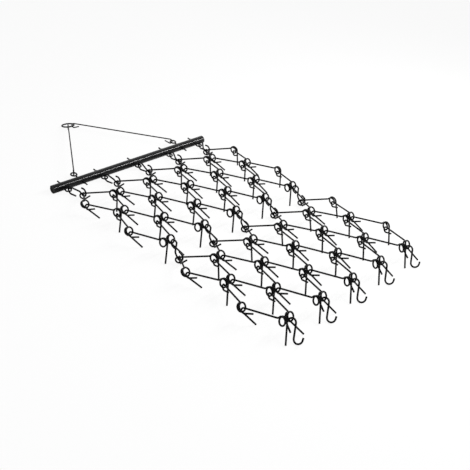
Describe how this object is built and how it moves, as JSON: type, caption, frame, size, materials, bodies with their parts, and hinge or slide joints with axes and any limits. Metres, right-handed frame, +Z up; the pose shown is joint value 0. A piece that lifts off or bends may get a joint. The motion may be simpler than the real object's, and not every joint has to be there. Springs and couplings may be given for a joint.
{
  "type": "chain harrow",
  "caption": "Chain harrow: round drawbar with eye bolts and a folding tow triangle, pulling a flexible mat of bent steel tine rods on S-hooks.",
  "frame": {"origin": "bottom centre of the bounding box, on the ground", "axes": "+X forward towards the tow ring, +Y to the left, +Z up; the mat lies behind the bar at -X"},
  "size_m": [2.5922, 1.259, 0.1109],
  "materials": {
    "bar_paint": "black powder coat, semi-gloss",
    "rod_paint": "black dipped paint, satin",
    "hardware_paint": "black oxide and oil, satin"
  },
  "bodies": {
    "drawbar": {"drawbar": "bar_paint", "eye_bolt_1": "hardware_paint", "eye_bolt_2": "hardware_paint", "eye_bolt_3": "hardware_paint", "eye_bolt_4": "hardware_paint", "eye_bolt_5": "hardware_paint", "tow_eye_bolt_1": "hardware_paint", "tow_eye_bolt_2": "hardware_paint"},
    "tow_rods": {"tow_rod_1": "hardware_paint", "tow_rod_2": "hardware_paint"},
    "tow_ring": {"tow_ring": "hardware_paint"},
    "bar_hooks": {"bar_hook_1": "hardware_paint", "bar_hook_2": "hardware_paint", "bar_hook_3": "hardware_paint", "bar_hook_4": "hardware_paint", "bar_hook_5": "hardware_paint"},
    "row_1": {"row_1": "rod_paint"},
    "row_2": {"row_2_1": "rod_paint", "row_2_2": "rod_paint", "row_2_3": "rod_paint", "row_2_4": "rod_paint", "row_2_5": "rod_paint"},
    "row_3": {"row_3_1": "rod_paint", "row_3_2": "rod_paint", "row_3_3": "rod_paint", "row_3_4": "rod_paint", "row_3_5": "rod_paint", "row_3_6": "rod_paint"},
    "row_4": {"row_4_1": "rod_paint", "row_4_2": "rod_paint", "row_4_3": "rod_paint", "row_4_4": "rod_paint", "row_4_5": "rod_paint"},
    "mid_hooks": {"mid_hook_1": "hardware_paint", "mid_hook_2": "hardware_paint", "mid_hook_3": "hardware_paint", "mid_hook_4": "hardware_paint", "mid_hook_5": "hardware_paint"},
    "row_5": {"row_5": "rod_paint"},
    "row_6": {"row_6_1": "rod_paint", "row_6_2": "rod_paint", "row_6_3": "rod_paint", "row_6_4": "rod_paint", "row_6_5": "rod_paint"},
    "row_7": {"row_7_1": "rod_paint", "row_7_2": "rod_paint", "row_7_3": "rod_paint", "row_7_4": "rod_paint", "row_7_5": "rod_paint", "row_7_6": "rod_paint"},
    "row_8": {"row_8_1": "rod_paint", "row_8_2": "rod_paint", "row_8_3": "rod_paint", "row_8_4": "rod_paint", "row_8_5": "rod_paint"},
    "rear_hook_1": {"rear_hook_1": "hardware_paint"},
    "rear_hook_2": {"rear_hook_2": "hardware_paint"},
    "rear_hook_3": {"rear_hook_3": "hardware_paint"},
    "rear_hook_4": {"rear_hook_4": "hardware_paint"},
    "rear_hook_5": {"rear_hook_5": "hardware_paint"}
  },
  "joints": [
    {"name": "tow_rods_swing", "type": "hinge", "parent": "drawbar", "child": "tow_rods", "pos_m": [0.62999, 0, 0.03283], "axis": [0, 1, 0], "range_deg": [-45, 20]},
    {"name": "tow_ring_swing", "type": "hinge", "parent": "tow_rods", "child": "tow_ring", "pos_m": [1.21507, 0, 0.02005], "axis": [0, 1, 0], "range_deg": [-50, 35]},
    {"name": "bar_hooks_swing", "type": "hinge", "parent": "drawbar", "child": "bar_hooks", "pos_m": [0.4745, 0, 0.02059], "axis": [0, 1, 0], "range_deg": [-25, 15]},
    {"name": "row_1_swing", "type": "hinge", "parent": "bar_hooks", "child": "row_1", "pos_m": [0.38386, 0, 0.0441], "axis": [0, 1, 0], "range_deg": [-15, 15]},
    {"name": "row_2_swing", "type": "hinge", "parent": "row_1", "child": "row_2", "pos_m": [0.21982, 0, 0.05622], "axis": [0, 1, 0], "range_deg": [-8, 30]},
    {"name": "row_3_swing", "type": "hinge", "parent": "row_2", "child": "row_3", "pos_m": [0.02809, 0, 0.06637], "axis": [0, 1, 0], "range_deg": [-8, 30]},
    {"name": "row_4_swing", "type": "hinge", "parent": "row_3", "child": "row_4", "pos_m": [-0.1639, 0, 0.06879], "axis": [0, 1, 0], "range_deg": [-8, 30]},
    {"name": "mid_hooks_swing", "type": "hinge", "parent": "row_4", "child": "mid_hooks", "pos_m": [-0.3559, 0, 0.06935], "axis": [0, 1, 0], "range_deg": [-25, 5]},
    {"name": "row_5_swing", "type": "hinge", "parent": "mid_hooks", "child": "row_5", "pos_m": [-0.44912, 0, 0.0441], "axis": [0, 1, 0], "range_deg": [-15, 15]},
    {"name": "row_6_swing", "type": "hinge", "parent": "row_5", "child": "row_6", "pos_m": [-0.61316, 0, 0.05622], "axis": [0, 1, 0], "range_deg": [-8, 30]},
    {"name": "row_7_swing", "type": "hinge", "parent": "row_6", "child": "row_7", "pos_m": [-0.80489, 0, 0.06637], "axis": [0, 1, 0], "range_deg": [-8, 30]},
    {"name": "row_8_swing", "type": "hinge", "parent": "row_7", "child": "row_8", "pos_m": [-0.99688, 0, 0.06879], "axis": [0, 1, 0], "range_deg": [-8, 30]},
    {"name": "rear_hook_1_swing", "type": "hinge", "parent": "row_8", "child": "rear_hook_1", "pos_m": [-1.18888, 0, 0.06935], "axis": [0, 1, 0], "range_deg": [-16, 20]},
    {"name": "rear_hook_2_swing", "type": "hinge", "parent": "row_8", "child": "rear_hook_2", "pos_m": [-1.18888, 0, 0.06935], "axis": [0, 1, 0], "range_deg": [-16, 20]},
    {"name": "rear_hook_3_swing", "type": "hinge", "parent": "row_8", "child": "rear_hook_3", "pos_m": [-1.18888, 0, 0.06935], "axis": [0, 1, 0], "range_deg": [-16, 20]},
    {"name": "rear_hook_4_swing", "type": "hinge", "parent": "row_8", "child": "rear_hook_4", "pos_m": [-1.18888, 0, 0.06935], "axis": [0, 1, 0], "range_deg": [-16, 20]},
    {"name": "rear_hook_5_swing", "type": "hinge", "parent": "row_8", "child": "rear_hook_5", "pos_m": [-1.18888, 0, 0.06935], "axis": [0, 1, 0], "range_deg": [-16, 20]}
  ]
}
